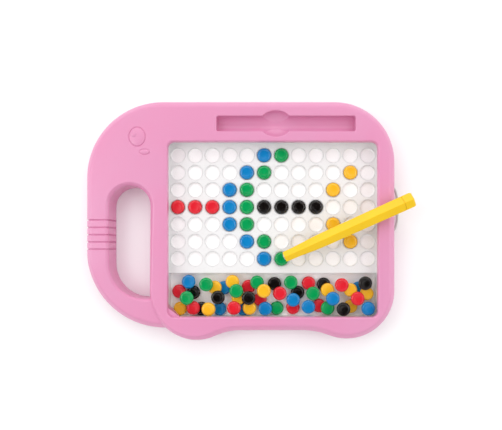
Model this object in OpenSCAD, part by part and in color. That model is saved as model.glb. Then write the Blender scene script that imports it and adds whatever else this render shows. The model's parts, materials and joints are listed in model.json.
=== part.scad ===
// Magnetic bead drawing board in the shape of an elephant, with a hexagonal magnet pen and a cord loop.
// Millimetres. The board lies flat: z = 0 is its back face and +Z points out of the drawing face.
// The origin is under the centre of the drawing window, +X runs to the cord side, +Y to the pen tray.

/* [Board] */
// total thickness of the case
case_t = 24; // [22:0.5:28]
// height of the seam between the back and front shells
seam_z = 10; // [8:0.5:12]
// case wall thickness
wall = 2.2; // [1.8:0.1:3]
// shank diameter of the case screws
screw_d = 2.9; // [2.5:0.1:3.2]

/* [Window] */
// width of the drawing window
window_w = 175; // [165:1:176]
// height of the drawing window
window_h = 146; // [140:1:147]
// corner radius of the drawing window
window_r = 5; // [3:0.5:8]
// thickness of the clear pane
pane_t = 1.6; // [1.2:0.1:2]
// depth of the pane below the face of the case
window_depth = 5.5; // [4:0.5:6]

/* [Bead grid] */
// number of columns of cups
grid_cols = 12; // [6:1:12]
// number of rows of cups
grid_rows = 7; // [4:1:7]
// distance between neighbouring cups
pitch = 14.7; // [13:0.1:14.7]
// height of the centres of the first row of cups
first_row_y = 63.4; // [58:0.1:64]
// diameter of a bead
bead_d = 11.8; // [11:0.1:12]
// thickness of a bead
bead_t = 4.2; // [3.6:0.1:4.2]
// depth of a cup
cup_depth = 2; // [1:0.1:2.4]
// edge of the grid plate where the bead trough begins
step_y = -37.2; // [-38:0.1:-34]

/* [Pen tray] */
// left end of the pen tray
tray_x = -46.7; // [-60:0.1:-40]
// length of the pen tray
tray_len = 115.4; // [115:0.1:118]
// width of the pen tray
tray_w = 12.6; // [12:0.1:14]
// centre line of the pen tray
tray_y = 87.8; // [87:0.1:89]
// depth of the pen tray
tray_depth = 9; // [6:0.5:9.5]

/* [Pen] */
// length of the pen
pen_len = 114.5; // [100:0.5:115]
// distance across two opposite flats of the pen
pen_flats = 12; // [10:0.1:12.2]
// direction of the pen seen from above, in degrees
pen_turn = 24.4; // [10:0.1:40]
// height of the axis at the tip of the pen
pen_tip_z = 23.75; // [23:0.05:30]
// rise of the pen from tip to end, in degrees
pen_rise = 4.9; // [4:0.1:10]

/* [Cord] */
// diameter of the cord
cord_d = 2; // [1.5:0.1:2.4]
// positions of the upper and lower cord holes along the side wall
cord_hole_y = [38, -2];

/* [Hidden] */
$fn = 64;
eps = 0.02;

// levels, from the back face upwards
face_z = case_t;
skin_z = case_t - wall;
pane_top = case_t - window_depth;
pane_z = pane_top - pane_t;
plate_z = pane_z - bead_t - 0.4;
cup_z = plate_z - cup_depth;
trough_z = 3.5;
cell_bead_z = cup_z + 0.1;
carried_z = plate_z + 0.3;
low_layer = trough_z + 0.1;
mid_layer = low_layer + bead_t + 0.15;
top_layer = mid_layer + bead_t + 0.15;

// the pane and the dot tray share one outer rectangle
pane_w = window_w + 6;
pane_h = window_h + 5;
inner_w = window_w + 2;
inner_h = window_h + 2;
cup_r = bead_d / 2 + 0.25;
first_col_x = -pitch * (grid_cols - 1) / 2;

// rounded shoulders of the case as [inset, start, end]
front_steps = [
    [0, seam_z, case_t - 4.8], [0.7, case_t - 4.8, case_t - 2.8],
    [1.9, case_t - 2.8, case_t - 1.2], [3.8, case_t - 1.2, case_t]
];
back_steps = [[2.6, 0, 1.2], [1, 1.2, 3], [0, 3, seam_z]];

screws = [
    [-75, 89], [82, 86], [-97.6, 0], [94.8, -40], [-63.6, -84],
    [64, -84], [-146.2, 22], [-118, 62], [-118, -68]
];
grip_rows = [7.8, 1.6, -4.5, -10.5, -16.5];

// loose beads lying on the trough floor
low_red = [[-81, -53], [-21, -49], [-11, -60], [17.5, -67], [31, -46], [40, -65.5]];
low_blue = [[-46, -68], [-42, -50], [-25.5, -68], [74, -50.5]];
low_green = [[3.5, -67.5]];
low_yellow = [[-80, -68], [67.5, -66]];
low_black = [[-68.5, -54], [-61.5, -68], [1.5, -46.5], [21.5, -54], [44, -47]];
// loose beads lying on those
mid_red = [[-68, -67], [6, -54.5]];
mid_blue = [[-72, -44.5], [-6.5, -67.5], [17.5, -60], [30.5, -66]];
mid_green = [[-13.5, -45], [15.5, -45], [34.5, -54.5], [47, -67]];
mid_yellow = [[-49.5, -49.5], [-34.5, -44.5], [-29.5, -58.5], [-20, -67], [47, -51.5], [66.5, -51.5], [80.5, -54.5]];
// loose beads at the top of the pile
top_red = [[-33, -66.5], [58.5, -47], [72, -58.5]];
top_blue = [[51, -58.5], [81, -67]];
top_green = [[-73, -58], [-56.5, -46.5], [-31, -52]];
top_yellow = [[-54.5, -67.5], [-7.5, -52]];
top_black = [[-46.5, -57.5], [-20.5, -58], [60, -67.5], [78.5, -45.5]];

// pen section as [distance from the tip, distance across flats]
pen_neck = [[0, 8.1], [0.7, 8.65], [6, 8.75], [12, 9.1], [18, 9.8], [24, 10.6], [30, 11.1], [38, 11.4]];
pen_split = pen_len - 8.5;
magnet_r = 2.5;

// cord loop outside the side wall, from the upper hole to the lower one
cord_path = [
    [95.5, 38, 5], [98.5, 38, 5], [101.2, 38, 5], [103.8, 37.4, 4.7], [106, 35, 3.9], [107.6, 31, 2.9],
    [108.6, 26.5, 2], [109, 22, 1.4], [109.1, 18, 1.2], [109, 14, 1.4], [108.6, 9.5, 2], [107.6, 5, 2.9],
    [106, 1, 3.9], [103.8, -1.4, 4.7], [101.2, -2, 5], [98.5, -2, 5], [95.5, -2, 5]
];
cord_sides = 8;

// colours
pink = [0.93, 0.63, 0.77];
clear = [0.9, 0.95, 0.97, 0.3];
white = [0.96, 0.97, 0.97];
steel = [0.7, 0.71, 0.73];
grey = [0.75, 0.75, 0.73];
pen_yellow = [0.99, 0.86, 0.16];
red_bead = [0.9, 0.2, 0.26];
blue_bead = [0.07, 0.55, 0.81];
green_bead = [0.05, 0.66, 0.38];
yellow_bead = [0.98, 0.78, 0.23];
black_bead = [0.04, 0.03, 0.03];

// rectangle with rounded corners, centred on the origin
module rounded_rect(w, h, r) {
    square([w - 2 * r, h], center = true);
    square([w, h - 2 * r], center = true);
    for (x = [-1, 1], y = [-1, 1])
        translate([x * (w / 2 - r), y * (h / 2 - r)]) circle(r);
}

// ellipse with half axes a and b
module ellipse(a, b, n = 48) {
    polygon([for (k = [0:n - 1]) [a * cos(360 * k / n), b * sin(360 * k / n)]]);
}

// concave sweep between a foot and the belly line
module blend(from_x, to_x, centre, r) {
    difference() {
        translate([min(from_x, to_x), -89.5]) square([abs(to_x - from_x), 9.5]);
        translate(centre) circle(r, $fn = 128);
    }
}

// elephant outline moved inwards by d
module outline(d) {
    translate([-92.2, 43.3]) circle(63.8 - d, $fn = 128);
    translate([51.9, 56.7]) circle(50.4 - d, $fn = 128);
    translate([-91.3, -18.3]) circle(64.7 - d, $fn = 128);
    translate([-63.6, -57.5]) circle(35.3 - d, $fn = 96);
    translate([62, -51.4]) circle(40.3 - d, $fn = 96);
    translate([-92.2, 0]) square([144.1, 107.1 - d]);
    translate([0, -51.4]) square([102.3 - d, 108.1]);
    translate([-156 + d, -18.3]) square([70, 61.6]);
    translate([-63.6, -84.7 + d]) square([125.6, 90]);
    blend(-48.97, -26.2, [-26.2, -139.7], 55 + d);
    blend(24.25, 47.53, [24.25, -149.7], 65 + d);
}

// finger gap behind the trunk, made larger by d
module handle_hole(d) {
    translate([-136.5 - d, -28.5]) square([34.1 + 2 * d, 48]);
    translate([-119.45, 19.5]) circle(17.05 + d);
    intersection() {
        translate([-107.2, -28.5]) circle(29.3 + d, $fn = 96);
        translate([-150, -70]) square([42.8, 43]);
    }
    translate([-107.2, -57.8 - d]) square([4.8 + d, 40]);
}

// head and body without the trunk tip
module body_zone() {
    translate([-102.4, -52.5]) square([220, 180]);
    translate([-61.8, -52.5]) circle(40.6, $fn = 96);
    translate([-65.5, -100]) square([190, 60]);
}

// half-round channel of the pen tray, made larger by d
module tray_channel(d, top) {
    r = tray_w / 2 + d;
    centre_z = face_z - tray_depth + tray_w / 2;
    translate([tray_x - d, tray_y, 0]) rotate([90, 0, 90]) linear_extrude(tray_len + 2 * d) {
        intersection() {
            translate([0, centre_z]) circle(r);
            translate([-r, centre_z - r]) square([2 * r, r]);
        }
        translate([-r, centre_z]) square([2 * r, top - centre_z]);
    }
}

// oval finger scoop across the pen tray
module scoop(d, bottom, top) {
    translate([2.6, tray_y, bottom]) linear_extrude(top - bottom) ellipse(13.7 + d, 10.8 + d);
}

// cut of one grip groove across the face and down the side of the trunk handle
module grip_groove(y, low, high) {
    translate([-157, y - 0.6, low]) cube([2.1, 1.2, high - low]);
}

module front_shell() color(pink) difference() {
    union() {
        difference() {
            for (s = front_steps)
                translate([0, 0, s[1]]) linear_extrude(s[2] - s[1]) outline(s[0]);
            translate([0, 0, seam_z - 1]) linear_extrude(9.5) outline(wall + 0.2);
            translate([0, 0, 18.4]) linear_extrude(skin_z - 18.4) intersection() {
                outline(4.8);
                body_zone_and_arm();
            }
        }
        translate([0, 0, seam_z]) linear_extrude(12.5) handle_hole(wall);
        translate([0, 0, pane_top]) linear_extrude(skin_z - pane_top + 0.5)
            rounded_rect(window_w + 4, window_h + 4, window_r + 2);
        tray_channel(1.8, skin_z + 0.5);
        scoop(1.2, 15.2, skin_z + 0.5);
        for (p = screws) translate([p[0], p[1], seam_z]) cylinder(r = 3.5, h = 12.2);
        // eye, pupil and cheek
        translate([-112.5, 76.7, face_z - 0.5]) linear_extrude(1.3) ellipse(6.75, 7.9);
        translate([-115.2, 78.4, face_z]) cylinder(r = 2.3, h = 1.3);
        translate([-106.3, 64.3, face_z - 0.5]) linear_extrude(1.1) ellipse(4.25, 2.25);
    }
    // trunk tip falls away below the body face
    difference() {
        translate([-170, -30, face_z]) rotate([3.2, 0, 0]) translate([0, -70, 0]) cube([90, 70, 10]);
        translate([0, 0, 10]) linear_extrude(30) body_zone();
    }
    translate([0, 0, seam_z - 1]) linear_extrude(20) handle_hole(0);
    translate([0, 0, face_z - 1.2]) linear_extrude(3) handle_hole(1.4);
    translate([0, 0, seam_z - 1]) linear_extrude(20) rounded_rect(window_w, window_h, window_r);
    translate([0, 0, face_z - 1.2]) linear_extrude(3)
        rounded_rect(window_w + 2.4, window_h + 2.4, window_r + 1.2);
    tray_channel(0, face_z + 1);
    scoop(0, 16.8, face_z + 1);
    for (p = screws) translate([p[0], p[1], seam_z - 1]) cylinder(d = screw_d + 0.1, h = 10.5);
    for (y = grip_rows) {
        grip_groove(y, seam_z - 1, face_z + 1);
        translate([-156, y - 0.6, face_z - 1]) cube([21, 1.2, 2]);
        translate([-137.5, y - 0.6, seam_z - 1]) cube([2, 1.2, 20]);
    }
}

// everything but the sloping trunk tip, where the skin stays thick
module body_zone_and_arm() {
    body_zone();
    translate([-170, -28]) square([80, 150]);
}

module back_shell() color(pink) difference() {
    union() {
        difference() {
            for (s = back_steps)
                translate([0, 0, s[1]]) linear_extrude(s[2] - s[1]) outline(s[0]);
            translate([0, 0, 2]) linear_extrude(1.2) outline(3.2);
            translate([0, 0, 3.2 - eps]) linear_extrude(8) outline(wall + 0.2);
        }
        linear_extrude(seam_z) handle_hole(wall);
        // locating rim round the dot tray
        translate([0, 0, 1.5]) linear_extrude(4.5) difference() {
            rounded_rect(pane_w + 5, pane_h + 5, 9.5);
            rounded_rect(pane_w + 2, pane_h + 2, 8);
        }
        for (p = screws) translate([p[0], p[1], 0.5]) cylinder(r = 4, h = seam_z - 0.5);
    }
    translate([0, 0, -1]) linear_extrude(20) handle_hole(0);
    translate([0, 0, -1]) linear_extrude(2) handle_hole(1.2);
    for (p = screws) translate([p[0], p[1], -1]) {
        cylinder(d = screw_d + 0.5, h = 20);
        cylinder(r = 3.1, h = 4);
    }
    for (y = grip_rows) {
        grip_groove(y, -1, 20);
        translate([-137.5, y - 0.6, -1]) cube([2, 1.2, 20]);
    }
    for (y = cord_hole_y) translate([98, y, 5]) rotate([0, 90, 0]) cylinder(r = cord_d / 2 + 0.2, h = 8);
}

module window_pane() color(clear)
    translate([0, 0, pane_z]) linear_extrude(pane_t) rounded_rect(pane_w, pane_h, 7);

module dot_tray() color(white) difference() {
    translate([0, 0, 2.1]) linear_extrude(pane_z - 2.1) rounded_rect(pane_w, pane_h, 7);
    // space over the grid plate, then the trough in front of it
    translate([0, 0, plate_z]) linear_extrude(20) intersection() {
        rounded_rect(inner_w, inner_h, 5);
        translate([-100, step_y - 1]) square([200, 200]);
    }
    translate([0, 0, trough_z]) linear_extrude(20) intersection() {
        rounded_rect(inner_w, inner_h, 5);
        translate([-100, -100]) square([200, 100 + step_y]);
    }
    // hollow between ribs on the underside of the grid plate
    for (k = [0:3])
        translate([-inner_w / 2 + k * (inner_w + 1.8) / 4, step_y + 1.8, 1])
            cube([(inner_w + 1.8) / 4 - 1.8, inner_h / 2 - step_y - 1.8, cup_z - 1.5 - 1]);
    for (c = [0:grid_cols - 1], r = [0:grid_rows - 1])
        translate([first_col_x + c * pitch, first_row_y - r * pitch, cup_z]) cylinder(r = cup_r, h = 10, $fn = 48);
}

module case_screws() color(steel)
    for (p = screws) translate([p[0], p[1], 0]) difference() {
        union() {
            translate([0, 0, 1]) cylinder(r = 2.8, h = 2);
            translate([0, 0, 2.5]) cylinder(d = screw_d, h = 15);
            translate([0, 0, 17.5]) cylinder(d1 = screw_d, d2 = 0.8, h = 1.5);
        }
        translate([0, 0, 1]) {
            cube([3.6, 0.8, 1.6], center = true);
            cube([0.8, 3.6, 1.6], center = true);
        }
    }

// tube of radius r swept along the points p, with one ring of corners at each point
function unit(v) = v / norm(v);
function run_at(p, i) = unit(p[min(i + 1, len(p) - 1)] - p[max(i - 1, 0)]);
function ring_at(p, i, r, n) =
    let (t = run_at(p, i), s = unit(cross([0, 0, 1], t)), u = cross(t, s))
    [for (k = [0:n - 1]) p[i] + r * (cos(360 * k / n) * s + sin(360 * k / n) * u)];
function tube_points(p, r, n) = [for (i = [0:len(p) - 1]) each ring_at(p, i, r, n)];
function side_faces(rings, n) = [
    for (i = [0:rings - 2], k = [0:n - 1])
        [i * n + k, (i + 1) * n + k, (i + 1) * n + (k + 1) % n, i * n + (k + 1) % n]
];
function end_faces(rings, n) = [[for (k = [0:n - 1]) k], [for (k = [n - 1:-1:0]) (rings - 1) * n + k]];

module cord_loop() color(grey)
    polyhedron(
        tube_points(cord_path, cord_d / 2, cord_sides),
        concat(side_faces(len(cord_path), cord_sides), end_faces(len(cord_path), cord_sides))
    );

module cord_knots() color(grey)
    for (y = cord_hole_y) translate([96.2, y, 5]) sphere(2.2);

// everything drawn along +X from the pen tip is moved to where the pen rests
module at_pen() translate([9.8, -22.9, pen_tip_z]) rotate([0, -pen_rise, pen_turn]) children();

// six-sided bar through sections of [distance, distance across flats], ridge upwards
function hex_points(sections) = [
    for (s = sections, k = [0:5]) [s[0], s[1] / sqrt(3) * cos(60 * k + 30), s[1] / sqrt(3) * sin(60 * k + 30)]
];

module hex_bar(sections)
    polyhedron(hex_points(sections), concat(side_faces(len(sections), 6), end_faces(len(sections), 6)));

module pen_barrel() color(pen_yellow) at_pen() difference() {
    hex_bar(concat(pen_neck, [[pen_split, pen_flats]]));
    translate([-1, 0, 0]) rotate([0, 90, 0]) cylinder(r = magnet_r + 0.05, h = 6.1);
    translate([pen_split - 6, 0, 0]) rotate([0, 90, 0]) cylinder(r = 3.9, h = 7);
}

module pen_end_plug() color(pen_yellow) at_pen() {
    hex_bar([[pen_split + 0.05, pen_flats], [pen_len - 1.6, pen_flats], [pen_len - 0.5, pen_flats - 1],
        [pen_len, pen_flats - 2.6]]);
    translate([pen_split - 5.5, 0, 0]) rotate([0, 90, 0]) cylinder(r = 3.8, h = 7);
}

module pen_magnet() color(steel) at_pen()
    translate([-0.7, 0, 0]) rotate([0, 90, 0]) cylinder(r = magnet_r, h = 5.6);

// round bead lying flat, with a fully rounded rim
module bead() rotate_extrude() {
    square([bead_d / 2 - bead_t / 2, bead_t]);
    intersection() {
        translate([bead_d / 2 - bead_t / 2, bead_t / 2]) circle(bead_t / 2, $fn = 32);
        square([bead_d / 2, bead_t]);
    }
}

// bead resting in the cup of column c and row r, counted from the top left
module cell_bead(tint, c, r) color(tint)
    translate([first_col_x + (c - 1) * pitch, first_row_y - (r - 1) * pitch, cell_bead_z]) bead();

// beads of one colour lying in one layer of the trough
module trough_group(tint, places, z) color(tint)
    for (p = places) translate([p[0], p[1], z]) bead();

// bead held up against the pane by the pen magnet
module carried_bead() color(green_bead)
    translate([first_col_x + 6 * pitch, first_row_y - 6 * pitch, carried_z]) bead();

module bead_blue_1() cell_bead(blue_bead, 6, 1);
module bead_green_1() cell_bead(green_bead, 7, 1);
module bead_blue_2() cell_bead(blue_bead, 5, 2);
module bead_green_2() cell_bead(green_bead, 6, 2);
module bead_yellow_1() cell_bead(yellow_bead, 11, 2);
module bead_blue_3() cell_bead(blue_bead, 4, 3);
module bead_green_3() cell_bead(green_bead, 5, 3);
module bead_yellow_2() cell_bead(yellow_bead, 10, 3);
module bead_red_1() cell_bead(red_bead, 1, 4);
module bead_red_2() cell_bead(red_bead, 2, 4);
module bead_red_3() cell_bead(red_bead, 3, 4);
module bead_blue_4() cell_bead(blue_bead, 4, 4);
module bead_green_4() cell_bead(green_bead, 5, 4);
module bead_black_1() cell_bead(black_bead, 6, 4);
module bead_black_2() cell_bead(black_bead, 7, 4);
module bead_black_3() cell_bead(black_bead, 8, 4);
module bead_black_4() cell_bead(black_bead, 9, 4);
module bead_blue_5() cell_bead(blue_bead, 4, 5);
module bead_green_5() cell_bead(green_bead, 5, 5);
module bead_yellow_3() cell_bead(yellow_bead, 10, 5);
module bead_blue_6() cell_bead(blue_bead, 5, 6);
module bead_green_6() cell_bead(green_bead, 6, 6);
module bead_yellow_4() cell_bead(yellow_bead, 11, 6);
module bead_blue_7() cell_bead(blue_bead, 6, 7);

module low_beads_red() trough_group(red_bead, low_red, low_layer);
module low_beads_blue() trough_group(blue_bead, low_blue, low_layer);
module low_beads_green() trough_group(green_bead, low_green, low_layer);
module low_beads_yellow() trough_group(yellow_bead, low_yellow, low_layer);
module low_beads_black() trough_group(black_bead, low_black, low_layer);
module mid_beads_red() trough_group(red_bead, mid_red, mid_layer);
module mid_beads_blue() trough_group(blue_bead, mid_blue, mid_layer);
module mid_beads_green() trough_group(green_bead, mid_green, mid_layer);
module mid_beads_yellow() trough_group(yellow_bead, mid_yellow, mid_layer);
module top_beads_red() trough_group(red_bead, top_red, top_layer);
module top_beads_blue() trough_group(blue_bead, top_blue, top_layer);
module top_beads_green() trough_group(green_bead, top_green, top_layer);
module top_beads_yellow() trough_group(yellow_bead, top_yellow, top_layer);
module top_beads_black() trough_group(black_bead, top_black, top_layer);

front_shell();
back_shell();
window_pane();
dot_tray();
case_screws();
cord_loop();
cord_knots();
pen_barrel();
pen_end_plug();
pen_magnet();
carried_bead();
bead_blue_1();
bead_green_1();
bead_blue_2();
bead_green_2();
bead_yellow_1();
bead_blue_3();
bead_green_3();
bead_yellow_2();
bead_red_1();
bead_red_2();
bead_red_3();
bead_blue_4();
bead_green_4();
bead_black_1();
bead_black_2();
bead_black_3();
bead_black_4();
bead_blue_5();
bead_green_5();
bead_yellow_3();
bead_blue_6();
bead_green_6();
bead_yellow_4();
bead_blue_7();
low_beads_red();
low_beads_blue();
low_beads_green();
low_beads_yellow();
low_beads_black();
mid_beads_red();
mid_beads_blue();
mid_beads_green();
mid_beads_yellow();
top_beads_red();
top_beads_blue();
top_beads_green();
top_beads_yellow();
top_beads_black();
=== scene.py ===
import json
import math
import bmesh
import bpy
from mathutils import Euler, Matrix, Vector


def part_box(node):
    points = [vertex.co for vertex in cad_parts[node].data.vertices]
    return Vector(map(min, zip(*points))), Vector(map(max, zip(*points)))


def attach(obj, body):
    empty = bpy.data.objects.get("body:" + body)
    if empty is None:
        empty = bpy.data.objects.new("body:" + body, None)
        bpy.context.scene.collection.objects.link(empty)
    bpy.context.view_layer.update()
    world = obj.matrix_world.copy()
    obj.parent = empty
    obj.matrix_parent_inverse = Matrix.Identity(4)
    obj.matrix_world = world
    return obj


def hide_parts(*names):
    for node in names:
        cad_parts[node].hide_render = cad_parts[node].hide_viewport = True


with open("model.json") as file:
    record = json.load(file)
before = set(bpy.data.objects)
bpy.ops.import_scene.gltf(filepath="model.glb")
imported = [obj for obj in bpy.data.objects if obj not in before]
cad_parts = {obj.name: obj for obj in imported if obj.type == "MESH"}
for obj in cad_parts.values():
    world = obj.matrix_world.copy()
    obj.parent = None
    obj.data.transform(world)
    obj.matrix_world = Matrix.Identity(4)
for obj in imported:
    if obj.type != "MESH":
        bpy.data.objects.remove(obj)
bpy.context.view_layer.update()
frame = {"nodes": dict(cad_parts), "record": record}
nodes = frame["nodes"]
mm = 0.001
sameSpot = 1e-6  # in m: nearer than this is the same place

# camera, straight above the drawing window, distances in mm
cameraSetup = {"x": -0.63, "y": -13.02, "z": 438.5, "depth": 420, "across": 421.68,
               "shiftX": -0.04183, "shiftY": 0.05976}
cameraData = bpy.data.cameras.new("studioCamera")
camera = bpy.data.objects.new("studioCamera", cameraData)
bpy.context.scene.collection.objects.link(camera)
camera.location = (cameraSetup["x"] * mm, cameraSetup["y"] * mm, cameraSetup["z"] * mm)
cameraData.sensor_width = 36
cameraData.lens = 36 * cameraSetup["depth"] / cameraSetup["across"]
cameraData.shift_x = cameraSetup["shiftX"]
cameraData.shift_y = cameraSetup["shiftY"]
cameraData.clip_start = 0.01
bpy.context.scene.camera = camera
print("camera ready")


def linear(hexText):  # sRGB hex to linear colour
    parts = [int(hexText[i:i + 2], 16) / 255 for i in (1, 3, 5)]
    return [c / 12.92 if c <= 0.04045 else ((c + 0.055) / 1.055) ** 2.4 for c in parts] + [1.0]


def perMm(size):  # texture scale whose features are that many mm across
    return 1 / (size * mm)


def addNode(tree, kind, values=None, links=None, **settings):
    node = tree.nodes.new(kind)
    for key, value in settings.items():
        setattr(node, key, value)
    for key, value in (values or {}).items():
        node.inputs[key].default_value = value
    for key, source in (links or {}).items():
        tree.links.new(source, node.inputs[key])
    return node


def newMaterial(name):
    material = bpy.data.materials.new(name)
    material.use_nodes = True
    material.node_tree.nodes.clear()
    return material, material.node_tree


driftShare = (0.32, 0.68)  # where the drift between the two colours starts and ends
glossDrift = 0.05


# moulded plastic: two close colours drift into each other over the moulding, the gloss varies
# a little, and the spark eroded mould leaves a fine grain. glow is how deep light gets, per colour
def mouldedPlastic(name, look):
    material, tree = newMaterial(name)
    place = addNode(tree, "ShaderNodeTexCoord").outputs["Object"]
    drift = addNode(tree, "ShaderNodeTexNoise", {"Scale": perMm(look["driftMm"]), "Detail": 3.0},
                    {"Vector": place})
    colours = addNode(tree, "ShaderNodeValToRGB", links={"Fac": drift.outputs["Fac"]})
    first, last = colours.color_ramp.elements
    first.position, last.position = driftShare
    first.color, last.color = linear(look["colour"]), linear(look["colourDrift"])
    grain = addNode(tree, "ShaderNodeTexNoise", {"Scale": perMm(look["grainMm"]), "Detail": 2.0},
                    {"Vector": place})
    gloss = addNode(tree, "ShaderNodeMapRange",
                    {"To Min": look["roughness"] - glossDrift, "To Max": look["roughness"] + glossDrift},
                    {"Value": grain.outputs["Fac"]})
    bump = addNode(tree, "ShaderNodeBump",
                   {"Strength": look["grainStrength"], "Distance": look["grainDepthMm"] * mm},
                   {"Height": grain.outputs["Fac"]})
    shader = addNode(tree, "ShaderNodeBsdfPrincipled",
                     {"IOR": look["ior"], "Subsurface Weight": look.get("glow", 0.0),
                      "Subsurface Radius": look.get("glowMm", (1, 1, 1)), "Subsurface Scale": mm},
                     {"Base Color": colours.outputs["Color"], "Roughness": gloss.outputs["Result"],
                      "Normal": bump.outputs["Normal"]})
    addNode(tree, "ShaderNodeOutputMaterial", links={"Surface": shader.outputs["BSDF"]})
    return material


# satin ABS from a spark eroded mould: a broad soft sheen on the shoulders, no mirror image.
# the real grain is 0.1 mm, drawn at 0.5 mm so that it shows
pinkAbs = mouldedPlastic("pinkSatinAbs", {
    "colour": "#dd8cb3", "colourDrift": "#da91b6", "driftMm": 60, "grainMm": 0.5, "grainDepthMm": 0.02,
    "grainStrength": 0.25, "roughness": 0.3, "ior": 1.54, "glow": 0.12, "glowMm": (1.2, 0.9, 1.0)})

# high impact polystyrene, matt so that the plate between the cups doesn't glare under the pane
whiteTray = mouldedPlastic("whiteMattPolystyrene", {
    "colour": "#edefef", "colourDrift": "#eaecec", "driftMm": 45, "grainMm": 0.6, "grainDepthMm": 0.02,
    "grainStrength": 0.2, "roughness": 0.5, "ior": 1.59})

# a whiter, slightly glossier copy of the tray's plastic, painted light: it makes the cup floors brighter than the
# plate and lifts the trough out of its shade
paintedLightWhite = mouldedPlastic("whitePaintedLightPolystyrene", {
    "colour": "#fefefe", "colourDrift": "#fdfdfd", "driftMm": 45, "grainMm": 0.6, "grainDepthMm": 0.02,
    "grainStrength": 0.2, "roughness": 0.45, "ior": 1.59})

# polypropylene pen: as satin as the case, with softer mirrored light
penYellow = mouldedPlastic("yellowPolypropylene", {
    "colour": "#f4c808", "colourDrift": "#f1c306", "driftMm": 30, "grainMm": 0.4, "grainDepthMm": 0.015,
    "grainStrength": 0.2, "roughness": 0.3, "ior": 1.49})

# polished polystyrene bead over an iron disc: saturated colour and a small sharp highlight
beadColours = {
    "red": ("#e52736", "#dd2231"), "blue": ("#0d86c9", "#0b7dbf"), "green": ("#06a257", "#04984f"),
    "yellow": ("#fbc22c", "#f6bb24"), "black": ("#0a0605", "#120e0d")}
beadPlastic = {
    tint: mouldedPlastic(tint + "GlossPolystyrene", {
        "colour": pair[0], "colourDrift": pair[1], "driftMm": 8, "grainMm": 0.3, "grainDepthMm": 0.01,
        "grainStrength": 0.15, "roughness": 0.13, "ior": 1.5})
    for tint, pair in beadColours.items()}


# clear moulded polystyrene sheet: lets the lamps through, mirrors a few percent, and its faint
# flow marks, some 12 mm long, unsettle the reflection
def makeClearSheet():
    material, tree = newMaterial("clearPolystyreneSheet")
    place = addNode(tree, "ShaderNodeTexCoord").outputs["Object"]
    flow = addNode(tree, "ShaderNodeTexNoise", {"Scale": perMm(12), "Detail": 2.0}, {"Vector": place})
    bump = addNode(tree, "ShaderNodeBump", {"Strength": 0.05, "Distance": 0.02 * mm},
                   {"Height": flow.outputs["Fac"]})
    gloss = addNode(tree, "ShaderNodeMapRange", {"To Min": 0.04, "To Max": 0.1}, {"Value": flow.outputs["Fac"]})
    mirror = addNode(tree, "ShaderNodeBsdfGlossy", {"Color": linear("#ffffff")},
                     {"Roughness": gloss.outputs["Result"], "Normal": bump.outputs["Normal"]})
    through = addNode(tree, "ShaderNodeBsdfTransparent", {"Color": linear("#fffefe")})
    # only the side that light meets first mirrors, because what is seen inside isn't bent
    mirrored = addNode(tree, "ShaderNodeFresnel", {"IOR": 1.3})
    side = addNode(tree, "ShaderNodeNewGeometry")
    front = addNode(tree, "ShaderNodeMath", {0: 1.0}, {1: side.outputs["Backfacing"]}, operation="SUBTRACT")
    share = addNode(tree, "ShaderNodeMath", links={0: mirrored.outputs["Fac"], 1: front.outputs["Value"]},
                    operation="MULTIPLY")
    mix = addNode(tree, "ShaderNodeMixShader")
    tree.links.new(share.outputs["Value"], mix.inputs[0])
    tree.links.new(through.outputs["BSDF"], mix.inputs[1])
    tree.links.new(mirror.outputs["BSDF"], mix.inputs[2])
    addNode(tree, "ShaderNodeOutputMaterial", links={"Surface": mix.outputs["Shader"]})
    return material


# plated metal: bright, with a plating haze in blotches of a few mm and fine drawn scratches
def platedMetal(name, colour, roughness, blotchMm, scratchMm):
    material, tree = newMaterial(name)
    place = addNode(tree, "ShaderNodeTexCoord").outputs["Object"]
    blotch = addNode(tree, "ShaderNodeTexNoise", {"Scale": perMm(blotchMm), "Detail": 4.0}, {"Vector": place})
    gloss = addNode(tree, "ShaderNodeMapRange", {"To Min": roughness - 0.08, "To Max": roughness + 0.12},
                    {"Value": blotch.outputs["Fac"]})
    stretch = addNode(tree, "ShaderNodeMapping", {"Scale": (1, 12, 1)}, {"Vector": place})
    scratch = addNode(tree, "ShaderNodeTexNoise", {"Scale": perMm(scratchMm), "Detail": 2.0},
                      {"Vector": stretch.outputs["Vector"]})
    bump = addNode(tree, "ShaderNodeBump", {"Strength": 0.2, "Distance": 0.02 * mm},
                   {"Height": scratch.outputs["Fac"]})
    shader = addNode(tree, "ShaderNodeBsdfPrincipled", {"Base Color": linear(colour), "Metallic": 1.0},
                     {"Roughness": gloss.outputs["Result"], "Normal": bump.outputs["Normal"]})
    addNode(tree, "ShaderNodeOutputMaterial", links={"Surface": shader.outputs["BSDF"]})
    return material


clearSheet = makeClearSheet()
zincScrew = platedMetal("zincPlatedSteel", "#c3c6cb", 0.34, 1.5, 2.0)
nickelMagnet = platedMetal("nickelPlatedMagnet", "#cfccc6", 0.22, 1.2, 1.5)


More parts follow.
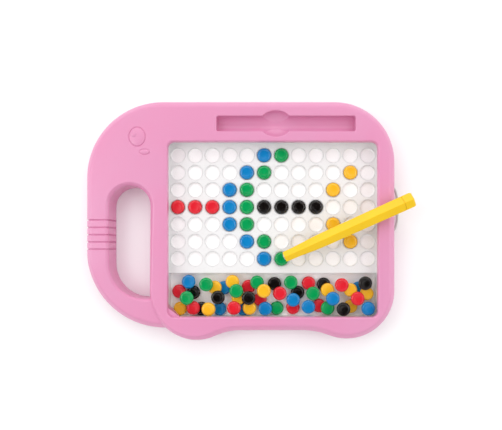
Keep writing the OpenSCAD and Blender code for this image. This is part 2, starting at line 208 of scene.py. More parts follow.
# polyester braid: matt thread with a soft sheen, the strands are in the mesh and the threads,
# 0.12 mm apart, are drawn here at 0.25 mm so that they show
def makeBraid():
    material, tree = newMaterial("greyPolyesterBraid")
    run = addNode(tree, "ShaderNodeAttribute", attribute_name="along")
    place = addNode(tree, "ShaderNodeTexCoord").outputs["Object"]
    threadMm = 0.25
    thread = addNode(tree, "ShaderNodeTexNoise", {"Scale": perMm(threadMm), "Detail": 3.0}, {"Vector": place})
    turns = addNode(tree, "ShaderNodeMath", {1: perMm(threadMm)}, {0: run.outputs["Fac"]}, operation="MULTIPLY")
    wave = addNode(tree, "ShaderNodeMath", links={0: turns.outputs["Value"]}, operation="SINE")
    height = addNode(tree, "ShaderNodeMath", links={0: wave.outputs["Value"], 1: thread.outputs["Fac"]},
                     operation="ADD")
    colours = addNode(tree, "ShaderNodeValToRGB", links={"Fac": thread.outputs["Fac"]})
    colours.color_ramp.elements[0].color = linear("#a9aaa6")
    colours.color_ramp.elements[1].color = linear("#d2d3cf")
    bump = addNode(tree, "ShaderNodeBump", {"Strength": 0.4, "Distance": 0.05 * mm},
                   {"Height": height.outputs["Value"]})
    shader = addNode(tree, "ShaderNodeBsdfPrincipled", {"Roughness": 0.8, "IOR": 1.5, "Sheen Weight": 0.3},
                     {"Base Color": colours.outputs["Color"], "Normal": bump.outputs["Normal"]})
    addNode(tree, "ShaderNodeOutputMaterial", links={"Surface": shader.outputs["BSDF"]})
    return material


greyBraid = makeBraid()
print("materials ready")


def deselectAll():
    if bpy.context.object and bpy.context.object.mode != "OBJECT":
        bpy.ops.object.mode_set(mode="OBJECT")
    bpy.ops.object.select_all(action="DESELECT")


def makeActive(piece):
    deselectAll()
    piece.select_set(True)
    bpy.context.view_layer.objects.active = piece


# a ring of corners is extruded edge by edge and each new ring is moved to its row, in mm
def buildRows(name, rows, close=True, fillEnds=False):
    deselectAll()
    bpy.ops.mesh.primitive_circle_add(vertices=len(rows[0]), radius=0.05)
    piece = bpy.context.object
    piece.name = piece.data.name = name
    bpy.ops.object.mode_set(mode="EDIT")
    bm = bmesh.from_edit_mesh(piece.data)
    order = bm.verts.layers.int.new("order")
    for i, corner in enumerate(bm.verts):
        corner[order] = i
    if not close:
        last = len(rows[0]) - 1
        bm.edges.remove(next(e for e in bm.edges if sorted(v[order] for v in e.verts) == [0, last]))
    bpy.ops.mesh.select_all(action="SELECT")
    for k, row in enumerate(rows):
        if k:
            bpy.ops.mesh.extrude_edges_move()
        bm = bmesh.from_edit_mesh(piece.data)
        order = bm.verts.layers.int["order"]
        for corner in bm.verts:
            if corner.select:
                corner.co = Vector(row[corner[order]]) * mm
    if fillEnds:
        bpy.ops.mesh.select_all(action="SELECT")
        bpy.ops.mesh.fill_holes(sides=0)
        bpy.ops.mesh.normals_make_consistent(inside=False)
    bpy.ops.object.mode_set(mode="OBJECT")
    return piece


def closeRing():  # a face over the ring that is still selected
    bpy.ops.object.mode_set(mode="EDIT")
    bpy.ops.mesh.edge_face_add()
    bpy.ops.object.mode_set(mode="OBJECT")


# a level ring of corners round a point, in mm, turned by a share of one side
def ovalRow(x, y, a, b, z, sides=48, turn=0.0):
    angles = [2 * math.pi * (k + turn) / sides for k in range(sides)]
    return [(x + a * math.cos(t), y + b * math.sin(t), z) for t in angles]


def joinPieces(name, parts):
    makeActive(parts[0])
    for part in parts[1:]:
        part.select_set(True)
    if len(parts) > 1:
        bpy.ops.object.join()
    parts[0].name = parts[0].data.name = name
    return parts[0]


# fills the flat region between all open edges that lie at height z
def fillLevel(piece, z):
    makeActive(piece)
    bpy.ops.object.mode_set(mode="EDIT")
    bpy.ops.mesh.select_mode(type="EDGE")
    bpy.ops.mesh.select_all(action="DESELECT")
    bm = bmesh.from_edit_mesh(piece.data)
    for edge in bm.edges:
        if len(edge.link_faces) < 2 and all(abs(v.co.z - z * mm) < sameSpot for v in edge.verts):
            edge.select_set(True)
    bmesh.update_edit_mesh(piece.data)
    bpy.ops.mesh.fill(use_beauty=True)
    bpy.ops.object.mode_set(mode="OBJECT")


def mergeAndTurnOut(piece, distance=0.002):
    makeActive(piece)
    bpy.ops.object.mode_set(mode="EDIT")
    bpy.ops.mesh.select_all(action="SELECT")
    bpy.ops.mesh.remove_doubles(threshold=distance * mm)
    bpy.ops.mesh.normals_make_consistent(inside=False)
    bpy.ops.object.mode_set(mode="OBJECT")


def smooth(piece, degrees=35, weighted=False):
    makeActive(piece)
    bpy.ops.object.shade_smooth_by_angle(angle=math.radians(degrees))
    if weighted:
        bpy.ops.object.modifier_add(type="WEIGHTED_NORMAL")
        piece.modifiers[-1].keep_sharp = True
        bpy.ops.object.modifier_apply(modifier=piece.modifiers[-1].name)


def dress(piece, material, body, replaced=()):
    piece.data.materials.clear()
    piece.data.materials.append(material)
    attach(piece, body)
    if replaced:
        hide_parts(*replaced)


# outline points as x, y, outward normal x, y and edge size
def arc(cx, cy, radius, start, end, count, outward=1, size=(1, 1)):
    points = []
    for k in range(count + 1):
        t = k / count
        angle = math.radians(start + (end - start) * t)
        nx, ny = math.cos(angle), math.sin(angle)
        edge = size[0] + (size[1] - size[0]) * t
        points.append((cx + radius * nx, cy + radius * ny, outward * nx, outward * ny, edge))
    return points


def roundedRect(width, height, radius, corner=8):
    points = []
    for sx, sy, start in ((1, 1, 0), (-1, 1, 90), (-1, -1, 180), (1, -1, 270)):
        points += arc(sx * (width / 2 - radius), sy * (height / 2 - radius), radius, start, start + 90, corner)
    return points


def inset(points, amount, z):  # the outline moved against its normals, at height z
    return [(x - nx * amount, y - ny * amount, z) for x, y, nx, ny, size in points]


# cord loop, in mm: the route of its middle line, out of the wall, down and back into the wall
cordRoute = ((95.5, 38, 5), (98.5, 38, 5), (101.2, 38, 5), (103.8, 37.4, 4.7), (106, 35, 3.9), (107.6, 31, 2.9),
             (108.6, 26.5, 2), (109, 22, 1.4), (109.1, 18, 1.2), (109, 14, 1.4), (108.6, 9.5, 2), (107.6, 5, 2.9),
             (106, 1, 3.9), (103.8, -1.4, 4.7), (101.2, -2, 5), (98.5, -2, 5), (95.5, -2, 5))
cordShape = {"radius": 0.96, "diameter": 2, "sides": 24, "between": 10, "strands": 4, "strandPitch": 3.2,
             "relief": 0.045}


def makeCord():
    c = cordShape
    points = [Vector(p) for p in cordRoute]
    padded = [2 * points[0] - points[1]] + points + [2 * points[-1] - points[-2]]
    line = []
    for i in range(1, len(padded) - 2):
        p0, p1, p2, p3 = padded[i - 1:i + 3]
        for k in range(c["between"]):
            t = k / c["between"]
            line.append(0.5 * (2 * p1 + (p2 - p0) * t + (2 * p0 - 5 * p1 + 4 * p2 - p3) * t * t
                               + (3 * p1 - p0 - 3 * p2 + p3) * t ** 3))
    line.append(points[-1])
    rows, run, runs = [], 0, []
    for i, spot in enumerate(line):
        run += (spot - line[i - 1]).length if i else 0
        runs.append(run)
        ahead = (line[min(i + 1, len(line) - 1)] - line[max(i - 1, 0)]).normalized()
        side = Vector((0, 0, 1)).cross(ahead).normalized()
        up = ahead.cross(side)
        ring = []
        for k in range(c["sides"]):
            a = 2 * math.pi * k / c["sides"]
            twist = 2 * math.pi * run / c["strandPitch"]
            weave = math.sin(c["strands"] * a + twist) * math.sin(c["strands"] * a - twist)
            ring.append(spot + (side * math.cos(a) + up * math.sin(a)) * c["radius"] * (1 + c["relief"] * weave))
        rows.append(ring)
    cord = buildRows("cordLoop", rows, fillEnds=True)
    smooth(cord, 60)
    along = cord.data.attributes.new("along", "FLOAT", "POINT")
    for v in cord.data.vertices:
        nearest = min(range(len(line)), key=lambda i: (line[i] * mm - v.co).length_squared)
        along.data[v.index].value = runs[nearest] * mm
    dress(cord, greyBraid, "board", ["cord_loop"])
    print("cord ready, mm:", round(run, 1))


makeCord()


# case outline shared by both shells, in mm
case = {
    "face": 24, "seam": 10, "seamGap": 0.05, "seamChamfer": 0.25,
    "headArc": (-92.2, 43.3, 63.8), "shoulderArc": (51.9, 56.7, 50.4), "trunkArc": (-91.3, -18.3, 64.7),
    "leftFoot": (-63.6, -57.5, 35.3), "rightFoot": (62, -51.4, 40.3),
    "leftSweep": (-26.2, -139.7, 55), "rightSweep": (24.25, -149.7, 65),
    "chestArc": (-61.8, -52.5, 40.6),
    "gapTop": (-119.45, 19.5, 17.05), "gapBend": (-107.2, -28.5, 29.3), "gapBottom": -57.8,
    "trunkStart": 12, "trunkOut": -156, "trunkIn": -136.5, "grips": (7.8, 1.6, -4.5, -10.5, -16.5),
    "gripDepth": 1.0, "gripHalf": 0.62,
    "gripProfile": ((1.15, 0), (1, 0.12), (0.62, 0.8), (0, 1), (-0.62, 0.8), (-1, 0.12), (-1.15, 0)),
    "tipFall": 3.2, "tipFallFrom": -30,
    # shoulder of the front shell as inset, drop below the face and tilt of the surface
    "shoulder": ((0, 6.4, 4), (0.18, 5.3, 16), (0.7, 4.2, 34), (1.7, 2.95, 44), (3.0, 1.6, 46),
                 (3.8, 0.85, 50), (4.5, 0.35, 66), (5.2, 0.08, 80), (5.9, 0, 90)),
    "gapEdge": 0.42, "gapSideEdge": 0.72}


def frontOutline():
    c = case
    top = arc(*c["headArc"], 180, 90, 26)
    top += arc(*c["shoulderArc"], 90, 0, 22)
    top += arc(*c["rightFoot"], 0, -111, 24)
    top += arc(*c["rightSweep"], 69, 90, 8, -1)[1:]
    top += arc(*c["leftSweep"], 90, 114.5, 8, -1)
    top += arc(*c["leftFoot"], -65.5, -110, 10, 1, (1, 0.8))[1:]
    top += arc(*c["chestArc"], -111, -180, 20, 1, (0.78, c["gapEdge"]))
    right = c["gapTop"][0] + c["gapTop"][2]
    rise = [(right, y, -1, 0, c["gapEdge"] + (c["gapSideEdge"] - c["gapEdge"]) * k / 7)
            for k, y in enumerate((-44, -36, -27, -18, -9, 0, 8, 14))]
    bow = arc(*c["gapTop"], 0, 180, 24, -1, (c["gapSideEdge"], c["gapEdge"]))
    left = c["gapTop"][0] - c["gapTop"][2]
    start = c["trunkStart"]
    return [(c["trunkOut"], start, -1, 0, 1)] + top + rise + bow + [(left, start, 1, 0, c["gapEdge"])]


def fallOf(y):  # the trunk tip falls away below the face
    return min(0, y - case["tipFallFrom"]) * math.tan(math.radians(case["tipFall"]))


# heights of the rows of a wall and its shoulder, from the seam up to the face
def wallColumn(point, dent=0, follow=False):
    x, y, nx, ny, size = point
    base = case["seam"] + case["seamGap"]
    chamfer = case["seamChamfer"]
    column = [(x - nx * (chamfer + dent), y - ny * (chamfer + dent), base),
              (x - nx * dent, y - ny * dent, base + chamfer)]
    for step, drop, tilt in case["shoulder"]:
        side, up = math.cos(math.radians(tilt)), math.sin(math.radians(tilt))
        px, py = x - nx * (step * size + side * dent), y - ny * (step * size + side * dent)
        top = case["face"] + (fallOf(py) if follow else 0)
        column.append((px, py, top - drop * size - up * dent))
    return column


def makeFrontBody():
    columns = [wallColumn(p) for p in frontOutline()]
    return buildRows("frontBody", [list(row) for row in zip(*columns)], close=False)


def gripSteps():  # place along the trunk and depth of each row of the grip grooves
    c = case
    return [(grip + shift * c["gripHalf"], dent * c["gripDepth"])
            for grip in c["grips"] for shift, dent in c["gripProfile"]]


# pairs of wall points, outer and inner, along the trunk, and how deep the grip is there
def trunkStations():
    c = case
    stations = [((c["trunkOut"], y, -1, 0, 1), (c["trunkIn"], y, 1, 0, c["gapEdge"]), dent)
                for y, dent in [(c["trunkStart"], 0)] + gripSteps()]
    cx, cy, radius = c["trunkArc"]
    bx, by, bend = c["gapBend"]
    straight = cy - by
    quarter = bend * math.pi / 2
    steps, sweep, tuckedIn = 40, 106, 13
    for k in range(steps + 1):
        angle = math.radians(180 + sweep * k / steps)
        outer = (cx + radius * math.cos(angle), cy + radius * math.sin(angle), math.cos(angle), math.sin(angle), 1)
        run = (straight + quarter + tuckedIn) * k / steps
        if run < straight:
            inner = (bx - bend, cy - run, 1, 0, c["gapEdge"])
        elif run < straight + quarter:
            a = math.pi + (run - straight) / bend
            inner = (bx + bend * math.cos(a), by + bend * math.sin(a), -math.cos(a), -math.sin(a), c["gapEdge"])
        else:
            inner = (bx + run - straight - quarter, by - bend, 0, 1, c["gapEdge"])
        stations.append((outer, inner, 0))
    return stations


def makeTrunk():
    rows = []
    for outer, inner, dent in trunkStations():
        rows.append(wallColumn(outer, dent, True) + wallColumn(inner, dent, True)[::-1])
    trunk = buildRows("trunk", rows)
    closeRing()  # the end inside the foot
    return trunk


# drawing window: rounded rim, wall down to the pane, pocket for the pane and the tray, in mm
window = {"width": 175, "height": 146, "radius": 5, "floor": 18.52, "pocket": 3.2, "pocketY": 2.7, "pocketRound": 2.2,
          "rim": ((1.5, 0), (0.95, 0.09), (0.45, 0.36), (0.12, 0.8), (0, 1.4))}


def makeWindowWall():
    w = window
    opening = roundedRect(w["width"], w["height"], w["radius"])
    rows = [inset(opening, -step, case["face"] - drop) for step, drop in w["rim"]]
    rows.append(inset(opening, 0, w["floor"]))
    pocket = roundedRect(w["width"] + 2 * w["pocket"], w["height"] + 2 * w["pocketY"],
                         w["radius"] + w["pocketRound"])
    rows.append([(x, y, w["floor"]) for x, y, *rest in pocket])
    rows.append([(x, y, case["seam"] + case["seamGap"]) for x, y, *rest in pocket])
    return buildRows("windowWall", rows)


# pen tray: half round channel with an oval finger scoop across it, in mm
tray = {"left": -46.7, "right": 68.7, "y": 87.8, "half": 6.3, "corner": 1.6, "scoopX": 2.6, "scoopA": 13.7,
        "scoopB": 10.8, "axisZ": 21.3, "scoopDepth": 6.1, "tubTop": 21.5, "tubBottom": 12, "tubSpare": 3,
        "tubNear": 76.2, "tubFar": 100.2, "channelSpare": 0.4, "mitre": 1.09, "scoopSteps": 16,
        "rim": ((0.9, 0), (0.55, 0.06), (0.25, 0.24), (0.06, 0.5), (0, 0.9))}


def trayOutline():
    t = tray
    corner = t["corner"]
    meet = math.degrees(math.asin(t["half"] / t["scoopB"]))
    points = []

    def scoopSide(start, end):
        for k in range(t["scoopSteps"] + 1):
            a = math.radians(start + (end - start) * k / t["scoopSteps"])
            nx, ny = math.cos(a) / t["scoopA"], math.sin(a) / t["scoopB"]
            length = math.hypot(nx, ny)
            nx, ny = nx / length, ny / length
            if k in (0, t["scoopSteps"]):  # mitred where the oval meets the straight side
                ny = ny + math.copysign(1, ny)
                length = math.hypot(nx, ny)
                nx, ny = nx / length * t["mitre"], ny / length * t["mitre"]
            points.append((t["scoopX"] + t["scoopA"] * math.cos(a), t["y"] + t["scoopB"] * math.sin(a), nx, ny, 1))

    points += arc(t["right"] - corner, t["y"] + t["half"] - corner, corner, 0, 90, 5)
    scoopSide(meet, 180 - meet)
    points += arc(t["left"] + corner, t["y"] + t["half"] - corner, corner, 90, 180, 5)
    points += arc(t["left"] + corner, t["y"] - t["half"] + corner, corner, 180, 270, 5)
    scoopSide(180 + meet, 360 - meet)
    points += arc(t["right"] - corner, t["y"] - t["half"] + corner, corner, 270, 360, 5)
    return points


def makeTrayWall():
    outline = trayOutline()
    rows = [inset(outline, -step, case["face"] - drop) for step, drop in tray["rim"]]
    rows.append(inset(outline, 0, tray["tubTop"] - 0.6))
    rows.append(inset(outline, 0, case["seam"] + case["seamGap"]))
    return buildRows("trayWall", rows)


def centreOf(low, high):
    return Vector([(a + b) / 2 for a, b in zip(low, high)])


def cutWith(piece, cutter):
    makeActive(piece)
    bpy.ops.object.modifier_add(type="BOOLEAN")
    piece.modifiers[-1].operation = "DIFFERENCE"
    piece.modifiers[-1].solver = "EXACT"
    piece.modifiers[-1].object = cutter
    bpy.ops.object.modifier_apply(modifier=piece.modifiers[-1].name)
    bpy.data.objects.remove(cutter)


# the tub under the tray opening carries the round channel and the bowl of the scoop
def makeTrayTub():
    t = tray
    low = (t["left"] - t["tubSpare"], t["tubNear"], t["tubBottom"])
    high = (t["right"] + t["tubSpare"], t["tubFar"], t["tubTop"])
    deselectAll()
    bpy.ops.mesh.primitive_cube_add(size=1)
    tub = bpy.context.object
    tub.data.transform(Matrix.LocRotScale(centreOf(low, high) * mm, None, (Vector(high) - Vector(low)) * mm))
    deselectAll()
    # a little longer than the opening, so that its ends don't lie in the tray's end walls
    bpy.ops.mesh.primitive_cylinder_add(vertices=64, radius=t["half"] * mm,
                                        depth=(t["right"] - t["left"] + 2 * t["channelSpare"]) * mm,
                                        location=((t["left"] + t["right"]) / 2 * mm, t["y"] * mm, t["axisZ"] * mm),
                                        rotation=(0, math.pi / 2, 0))
    cutWith(tub, bpy.context.object)
    deselectAll()
    bpy.ops.mesh.primitive_uv_sphere_add(segments=64, ring_count=32, radius=1,
                                         location=(t["scoopX"] * mm, t["y"] * mm, t["tubTop"] * mm))
    bowl = bpy.context.object
    bowl.scale = (t["scoopA"] * mm, t["scoopB"] * mm, t["scoopDepth"] * mm)
    cutWith(tub, bowl)
    return tub


# domes on the head, each in a fine moat: centre and half axes in mm, rows as inset and height over the face
domes = {
    "eye": (-112.5, 76.7, 6.75, 7.9,
            ((-1.0, 0), (-0.65, -0.08), (-0.35, -0.3), (-0.12, -0.55), (0.05, -0.58), (0.2, -0.4),
             (0.4, 0), (0.75, 0.3), (1.3, 0.5), (2.2, 0.65), (3.6, 0.76), (5.2, 0.8), (6.4, 0.8))),
    "cheek": (-106.3, 64.3, 4.25, 2.25,
              ((-0.8, 0), (-0.5, -0.06), (-0.25, -0.25), (-0.05, -0.4), (0.1, -0.38), (0.3, 0),
               (0.55, 0.25), (1.0, 0.45), (1.6, 0.56), (2.1, 0.6)))}
domeTip = 0.15  # the narrowest half axis at a dome's top
pupil = {"x": -115.2, "y": 78.4, "radius": 2.3,
         "rows": ((0, 0.35), (0, 0.62), (0.12, 0.8), (0.4, 0.98), (0.9, 1.16), (1.5, 1.27), (2.1, 1.3))}


def makeDome(name):
    x, y, a, b, rows = domes[name]
    dome = buildRows(name + "Dome", [ovalRow(x, y, a - step, max(b - step, domeTip), case["face"] + rise)
                                     for step, rise in rows])
    closeRing()
    return dome


def makePupil():
    p = pupil
    rows = [ovalRow(p["x"], p["y"], p["radius"] - step, p["radius"] - step, case["face"] + rise)
            for step, rise in p["rows"]]
    return buildRows("pupil", rows, fillEnds=True)


def makeFrontShell():
    shell = joinPieces("frontShell", [
        makeFrontBody(), makeTrunk(), makeWindowWall(), makeTrayWall(), makeDome("eye"), makeDome("cheek")])
    mergeAndTurnOut(shell)
    fillLevel(shell, case["face"])
    fillLevel(shell, case["seam"] + case["seamGap"])
    mergeAndTurnOut(shell)
    shell = joinPieces("frontShell", [shell, makeTrayTub(), makePupil()])
    smooth(shell, 38, weighted=True)
    dress(shell, pinkAbs, "board", ["front_shell"])
    print("front shell ready")


makeFrontShell()

# back shell, in mm: edge rows as inset and height, screw recesses, and the pocket for the tray
back = {"edge": ((0.25, 9.95), (0, 9.7), (0, 3.1), (0.18, 2.1), (0.6, 1.25), (1.2, 0.6), (2.0, 0.16), (2.9, 0)),
        "screws": ((-75, 89), (82, 86), (-97.6, 0), (94.8, -40), (-63.6, -84), (64, -84), (-146.2, 22),
                   (-118, 62), (-118, -68)),
        "recess": ((3.5, 0), (3.22, 0.1), (3.1, 0.4), (3.1, 3.05)), "gapEdge": 0.45,
        "pocket": (181.4, 151.4, 7.2), "pocketRows": ((0, 2.4), (0.4, 2))}


def backOutline(step, dentShare):
    c = case

    def ring(key, start, end, count, sign=1):
        cx, cy, radius = c[key]
        return [(cx + (radius - sign * step) * math.cos(math.radians(start + (end - start) * k / count)),
                 cy + (radius - sign * step) * math.sin(math.radians(start + (end - start) * k / count)))
                for k in range(count + 1)]

    # the trunk circle and the foot circle cross in a notch that moves with the inset
    fx, fy, fr = c["leftFoot"]
    tx, ty, tr = c["trunkArc"]
    fr, tr = fr - step, tr - step
    gap = math.hypot(tx - fx, ty - fy)
    along = (fr * fr - tr * tr + gap * gap) / (2 * gap)
    rise = math.sqrt(fr * fr - along * along)
    ux, uy = (tx - fx) / gap, (ty - fy) / gap
    crossing = min(((fx + ux * along - uy * rise * s, fy + uy * along + ux * rise * s) for s in (1, -1)),
                   key=lambda p: p[1])
    footEnd = math.degrees(math.atan2(crossing[1] - fy, crossing[0] - fx)) % 360 - 360
    trunkEnd = math.degrees(math.atan2(crossing[1] - ty, crossing[0] - tx)) % 360
    points = ring("headArc", 180, 90, 26) + ring("shoulderArc", 90, 0, 22) + ring("rightFoot", 0, -111, 24)
    points += ring("rightSweep", 69, 90, 8, -1)[1:] + ring("leftSweep", 90, 114.5, 8, -1)
    points += ring("leftFoot", -65.5, footEnd, 14)[1:] + ring("trunkArc", trunkEnd, 180, 26)[1:]
    return points + [(c["trunkOut"] + step + dent * dentShare, y) for y, dent in gripSteps()[::-1]]


def gapOutline(step, dentShare):
    c = case
    x, y, radius = c["gapTop"]
    right, left = x + radius, x - radius
    points = [(right + step, c["gapBottom"] - step), (right + step, -30), (right + step, 0)]
    angles = [math.pi * k / 24 for k in range(25)]
    points += [(x + (radius + step) * math.cos(a), y + (radius + step) * math.sin(a)) for a in angles]
    points += [(left - step - dent * dentShare, gripY) for gripY, dent in gripSteps()]
    bx, by, bend = c["gapBend"]
    points += [(bx - (bend + step) * math.cos(a), by - (bend + step) * math.sin(a)) for a in angles[:13]]
    return points


def makeBackShell():
    b = back
    shares = [1 if z > 1 else 0 for step, z in b["edge"]]
    top = b["edge"][0][1]
    rimRows = [[(*p, z) for p in backOutline(step, share)] for (step, z), share in zip(b["edge"], shares)]
    gapRows = [[(*p, z) for p in gapOutline(step * b["gapEdge"], share)]
               for (step, z), share in zip(b["edge"], shares)]
    parts = [buildRows("backRim", rimRows), buildRows("gapWall", gapRows)]
    for x, y in b["screws"]:
        parts.append(buildRows("recess", [ovalRow(x, y, r, r, z, 32) for r, z in b["recess"]]))
        closeRing()
    pocket = roundedRect(*b["pocket"])
    pocketRows = [inset(pocket, step, z) for step, z in ((0, top),) + b["pocketRows"]]
    parts.append(buildRows("trayPocket", pocketRows))
    closeRing()
    shell = joinPieces("backShell", parts)
    fillLevel(shell, top)
    fillLevel(shell, 0)
    mergeAndTurnOut(shell)
    smooth(shell, 38, weighted=True)
    dress(shell, pinkAbs, "board", ["back_shell"])
    print("back shell ready")


makeBackShell()

# tray under the pane, in mm: tub, grid plate with its cups, and the trough in front of it
grid = {"columns": 12, "rows": 7, "pitch": 14.7, "firstX": -80.85, "firstY": 63.4, "plate": 12.3,
        "trough": 3.5, "base": 2.1, "top": 16.88, "sides": 32, "outer": (181, 151, 7), "inner": (177, 148, 5),
        # a fine groove round each cup, then the cup's wall and floor, as radius and height over the plate
        "cup": ((6.82, 0), (6.72, -0.07), (6.68, -0.5), (6.5, -0.5), (6.46, -0.07), (6.36, 0), (6.2, -0.06),
                (6.15, -0.3), (6.15, -1.6), (6.05, -1.88), (5.8, -2.0), (5.0, -2.0)),
        # where the plate ends: at three walls, and at the rounded step down to the trough
        "lowX": -88.6, "highX": 88.6, "step": -37.2, "highY": 74.1,
        "stepRows": ((0.9, 0), (0.36, -0.1), (0.1, -0.4), (0, -0.9)), "skirtDepth": 0.6}


def spread(vertices, axis):  # lowest and highest place along one axis
    places = [v.co[axis] for v in vertices]
    return [min(places), max(places)]


# one cell of the grid, square outside and round inside, is repeated over columns and rows
def makeGridPlate():
    g = grid
    half = g["pitch"] / 2
    sides = g["sides"]
    square = []
    for k in range(sides):
        a = 2 * math.pi * (k + 0.5) / sides
        reach = half / max(abs(math.cos(a)), abs(math.sin(a)))
        square.append((reach * math.cos(a), reach * math.sin(a)))
    corners = [min(range(sides), key=lambda k: math.dist(square[k], (sx * half, sy * half)))
               for sx in (1, -1) for sy in (1, -1)]
    square = [(math.copysign(half, x), math.copysign(half, y)) if k in corners else (x, y)
              for k, (x, y) in enumerate(square)]
    x0, y0 = g["firstX"], g["firstY"] - (g["rows"] - 1) * g["pitch"]
    rows = [[(x0 + x, y0 + y, g["plate"]) for x, y in square]]
    rows += [ovalRow(x0, y0, radius, radius, g["plate"] + rise, sides, 0.5) for radius, rise in g["cup"]]
    plate = buildRows("gridPlate", rows)
    closeRing()  # cup floor
    for count, shift in ((g["columns"], (g["pitch"], 0)), (g["rows"], (0, g["pitch"]))):
        bpy.ops.object.modifier_add(type="ARRAY")
        array = plate.modifiers[-1]
        array.count = count
        array.use_relative_offset = False
        array.use_constant_offset = True
        array.constant_offset_displace = (shift[0] * mm, shift[1] * mm, 0)
        array.use_merge_vertices = True
        array.merge_threshold = 0.01 * mm
        bpy.ops.object.modifier_apply(modifier=array.name)
    # the open edge of the field of cups runs out to the walls and down to the trough
    skirt = g["stepRows"] + ((0, g["trough"] - g["skirtDepth"] - g["plate"]),)
    bpy.ops.object.mode_set(mode="EDIT")
    bpy.ops.mesh.select_mode(type="EDGE")
    bpy.ops.mesh.select_all(action="DESELECT")
    bm = bmesh.from_edit_mesh(plate.data)
    edges = [e for e in bm.edges if len(e.link_faces) == 1]
    edgeCorners = [v for e in edges for v in e.verts]
    reached = [spread(edgeCorners, axis) for axis in (0, 1)]
    for edge in edges:
        edge.select_set(True)
    bmesh.update_edit_mesh(plate.data)
    for short, rise in skirt:
        bpy.ops.mesh.extrude_edges_move()
        bm = bmesh.from_edit_mesh(plate.data)
        limits = ((g["lowX"] * mm, g["highX"] * mm), ((g["step"] + short) * mm, g["highY"] * mm))
        for corner in bm.verts:
            if not corner.select:
                continue
            for axis in (0, 1):
                for side in (0, 1):
                    if abs(corner.co[axis] - reached[axis][side]) < sameSpot:
                        corner.co[axis] = limits[axis][side]
                        break
            corner.co.z = (g["plate"] + rise) * mm
        reached = limits
    bpy.ops.mesh.edge_face_add()
    bpy.ops.object.mode_set(mode="OBJECT")
    mergeAndTurnOut(plate)
    return plate


def makeTub():
    g = grid
    outer, inner = roundedRect(*g["outer"]), roundedRect(*g["inner"])
    base, top, trough = g["base"], g["top"], g["trough"]
    rows = [inset(inner, 0, base)]
    rows += [inset(outer, step, z) for step, z in ((0.4, base), (0, base + 0.4), (0, top - 0.3), (0.3, top))]
    rows += [inset(inner, step, z) for step, z in (
        (-0.3, top), (0, top - 0.3), (0, trough + 1.5), (0.22, trough + 0.75), (0.75, trough + 0.22), (1.5, trough))]
    return buildRows("tub", rows, fillEnds=True)


def makeDotTray():
    piece = joinPieces("dotTray", [makeTub(), makeGridPlate()])
    smooth(piece, 40, weighted=True)
    dress(piece, whiteTray, "board", ["dot_tray"])
    # painted light: the whiter copy goes on the cup floors and on the trough below the plate
    piece.data.materials.append(paintedLightWhite)
    cupFloor = grid["plate"] + grid["cup"][-1][1]
    for face in piece.data.polygons:
        height = face.center.z / mm
        if abs(height - cupFloor) < 0.15 or height < cupFloor - 0.3:
            face.material_index = 1
    print("dot tray ready")


makeDotTray()

# one bead, in mm, copied to every place that the frame gives
beadShape = {"radius": 5.9, "height": 4.2, "sides": 40, "carriedTint": "green",
             "dish": ((3.35, 4.2), (2.9, 4.16), (2.4, 4.1), (1.2, 4.09))}


def makeBead():
    b = beadShape
    rim = b["height"] / 2
    turns = [math.radians(a) for a in range(-90, 91, 15)]
    profile = [(b["radius"] - rim + rim * math.cos(a), rim + rim * math.sin(a)) for a in turns] + list(b["dish"])
    bead = buildRows("bead", [ovalRow(0, 0, r, r, z - rim, b["sides"]) for r, z in profile], fillEnds=True)
    smooth(bead, 50)
    return bead


def beadPlaces(nodeName):  # middle of each loose bead of a carried node
    spare = nodes[nodeName].copy()
    spare.data = spare.data.copy()
    bpy.context.scene.collection.objects.link(spare)
    makeActive(spare)
    bpy.ops.object.mode_set(mode="EDIT")
    bpy.ops.mesh.select_all(action="SELECT")
    bpy.ops.mesh.remove_doubles(threshold=0.001 * mm)
    bpy.ops.mesh.separate(type="LOOSE")
    bpy.ops.object.mode_set(mode="OBJECT")
    loose = list(bpy.context.selected_objects)
    places = []
    for part in loose:
        places.append(centreOf(*zip(*[spread(part.data.vertices, axis) for axis in range(3)])))
    for part in loose:
        bpy.data.objects.remove(part)
    return sorted(places, key=lambda p: (round(p.x, 5), round(p.y, 5)))


def placeBeads():
    bead = makeBead()
    for body, members in frame["record"]["behaviour"]["bodies"].items():
        for node in members:
            if "bead" not in node:
                continue
            tint = next((t for t in beadPlastic if t in node), beadShape["carriedTint"])
            loose = node.startswith(("low_", "mid_", "top_"))
            places = beadPlaces(node) if loose else [centreOf(*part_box(node))]
            copies = []
            for place in places:
                copy = bead.copy()
                copy.data = bead.data.copy()
                copy.data.transform(Matrix.Translation(place))
                bpy.context.scene.collection.objects.link(copy)
                copies.append(copy)
            piece = joinPieces(node + "_round", copies)
            dress(piece, beadPlastic[tint], body, [node])
    bpy.data.objects.remove(bead)
    print("beads ready")


placeBeads()

# pen, in mm along its axis from the tip: distance and width across two flats
pen = {"tip": (9.8, -22.9, 23.75), "turn": 24.4, "rise": 4.9, "edge": 0.45, "edgeSteps": 3, "sharp": 40,
       "barrel": ((0, 7.3), (0.35, 8.3), (0.9, 8.65), (6, 8.75), (12, 9.1), (18, 9.8), (24, 10.6), (30, 11.1),
                  (38, 11.4), (72, 11.7), (105.7, 12), (106, 11.75)),
       "plug": ((106.05, 11.75), (106.35, 12), (112.5, 12), (113.2, 11.6), (113.8, 10.9), (114.2, 9.9), (114.35, 9))}


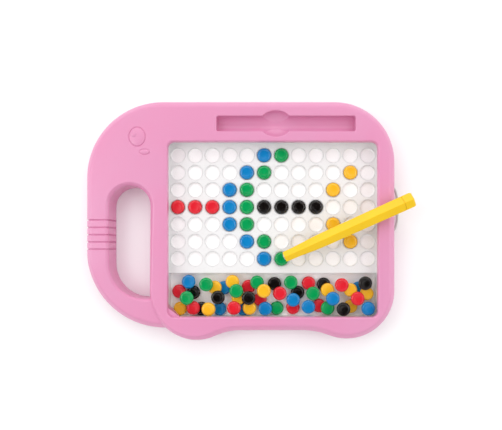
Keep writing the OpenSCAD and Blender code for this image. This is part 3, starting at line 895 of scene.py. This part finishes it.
def makePenPart(name, sections):
    rows = []
    for distance, flats in sections:
        reach = flats / math.sqrt(3)
        rows.append([(distance, y, z) for y, z, place in ovalRow(0, 0, reach, reach, 0, 6, 0.5)])
    part = buildRows(name, rows, fillEnds=True)
    bpy.ops.object.modifier_add(type="BEVEL")
    bevel = part.modifiers[-1]
    bevel.width = pen["edge"] * mm
    bevel.segments = pen["edgeSteps"]
    bevel.limit_method = "ANGLE"
    bevel.angle_limit = math.radians(pen["sharp"])
    bpy.ops.object.modifier_apply(modifier=bevel.name)
    turn = Euler((0, -math.radians(pen["rise"]), math.radians(pen["turn"])), "XYZ").to_matrix().to_4x4()
    part.data.transform(Matrix.Translation(Vector(pen["tip"]) * mm) @ turn)
    smooth(part, 25, weighted=True)
    return part


for pieceName, sections, nodeName in (("penBarrel", "barrel", "pen_barrel"), ("penEndPlug", "plug", "pen_end_plug")):
    dress(makePenPart(pieceName, pen[sections]), penYellow, "pen", [nodeName])
print("pen ready")

# carried nodes whose shape is already right
for nodeName, material in (("window_pane", clearSheet), ("case_screws", zincScrew),
                           ("pen_magnet", nickelMagnet), ("cord_knots", greyBraid)):
    nodes[nodeName].data.materials.clear()
    nodes[nodeName].data.materials.append(material)

# studio: pale floor, light tent, four soft boxes. tentRise is the brightness from the horizon, 0, to overhead, 1
studio = {"floorSize": 3.0, "floorZ": -0.3, "floorColour": "#fafafa", "tentStrength": 1.0, "nearSide": 0.6,
          "nearFrom": -0.7, "nearTo": 0.1,
          "tentRise": ((0.001, 1.1), (0.22, 1.3), (0.42, 0.85), (0.8, 1.0), (0.955, 1.5), (0.972, 0.02),
                       (0.999, 0.02))}


def makeFloor():
    deselectAll()
    bpy.ops.mesh.primitive_plane_add(size=studio["floorSize"], location=(0, 0, studio["floorZ"] * mm))
    floor = bpy.context.object
    floor.name = "studioFloor"
    material, tree = newMaterial("whiteMattPaper")
    place = addNode(tree, "ShaderNodeTexCoord").outputs["Object"]
    fibre = addNode(tree, "ShaderNodeTexNoise", {"Scale": perMm(2)}, {"Vector": place})
    bump = addNode(tree, "ShaderNodeBump", {"Strength": 0.05, "Distance": 0.02 * mm},
                   {"Height": fibre.outputs["Fac"]})
    shader = addNode(tree, "ShaderNodeBsdfPrincipled",
                     {"Base Color": linear(studio["floorColour"]), "Roughness": 0.9, "Specular IOR Level": 0.1},
                     {"Normal": bump.outputs["Normal"]})
    addNode(tree, "ShaderNodeOutputMaterial", links={"Surface": shader.outputs["BSDF"]})
    floor.data.materials.append(material)


# name, place in m, size in m, watts
lamps = (("farSoftbox", (-0.05, 0.8, 0.78), (1.1, 0.5), 1.8), ("leftSoftbox", (-0.85, 0.05, 0.72), (0.5, 1.0), 2.9),
         ("rightSoftbox", (0.85, 0.1, 0.72), (0.5, 1.0), 1.9), ("nearSoftbox", (0.0, -0.85, 0.8), (0.9, 0.4), 0.6))


# light tent: dimmer on the near side, brightest in a ring round a dark opening overhead, where the
# camera looks in, so that flat gloss mirrors the opening and stays clear
def makeTent():
    world = bpy.data.worlds.new("lightTent")
    bpy.context.scene.world = world
    world.use_nodes = True
    tree = world.node_tree
    tree.nodes.clear()
    direction = addNode(tree, "ShaderNodeTexCoord").outputs["Generated"]
    split = addNode(tree, "ShaderNodeSeparateXYZ", links={"Vector": direction})
    wall = addNode(tree, "ShaderNodeValToRGB", links={"Fac": split.outputs["Z"]})
    stops = wall.color_ramp.elements
    for place, shade in studio["tentRise"]:
        stop = stops.new(place)
        stop.color = (shade, shade, shade, 1)
    stops.remove(stops[0])
    stops.remove(stops[-1])
    depth = addNode(tree, "ShaderNodeMapRange",
                    {"From Min": studio["nearFrom"], "From Max": studio["nearTo"],
                     "To Min": studio["nearSide"], "To Max": 1.0}, {"Value": split.outputs["Y"]})
    share = addNode(tree, "ShaderNodeMath", {1: studio["tentStrength"]}, {0: depth.outputs["Result"]},
                    operation="MULTIPLY")
    sky = addNode(tree, "ShaderNodeBackground",
                  links={"Color": wall.outputs["Color"], "Strength": share.outputs["Value"]})
    addNode(tree, "ShaderNodeOutputWorld", links={"Surface": sky.outputs["Background"]})


def makeLights():
    bpy.context.scene.view_settings.view_transform = "Standard"
    for name, place, size, watts in lamps:
        data = bpy.data.lights.new(name, "AREA")
        data.shape = "RECTANGLE"
        data.size, data.size_y = size
        data.energy = watts
        lamp = bpy.data.objects.new(name, data)
        lamp.location = place
        lamp.rotation_euler = (-Vector(place)).to_track_quat("-Z", "Y").to_euler()
        bpy.context.scene.collection.objects.link(lamp)


makeFloor()
makeTent()
makeLights()
deselectAll()
print("studio ready")
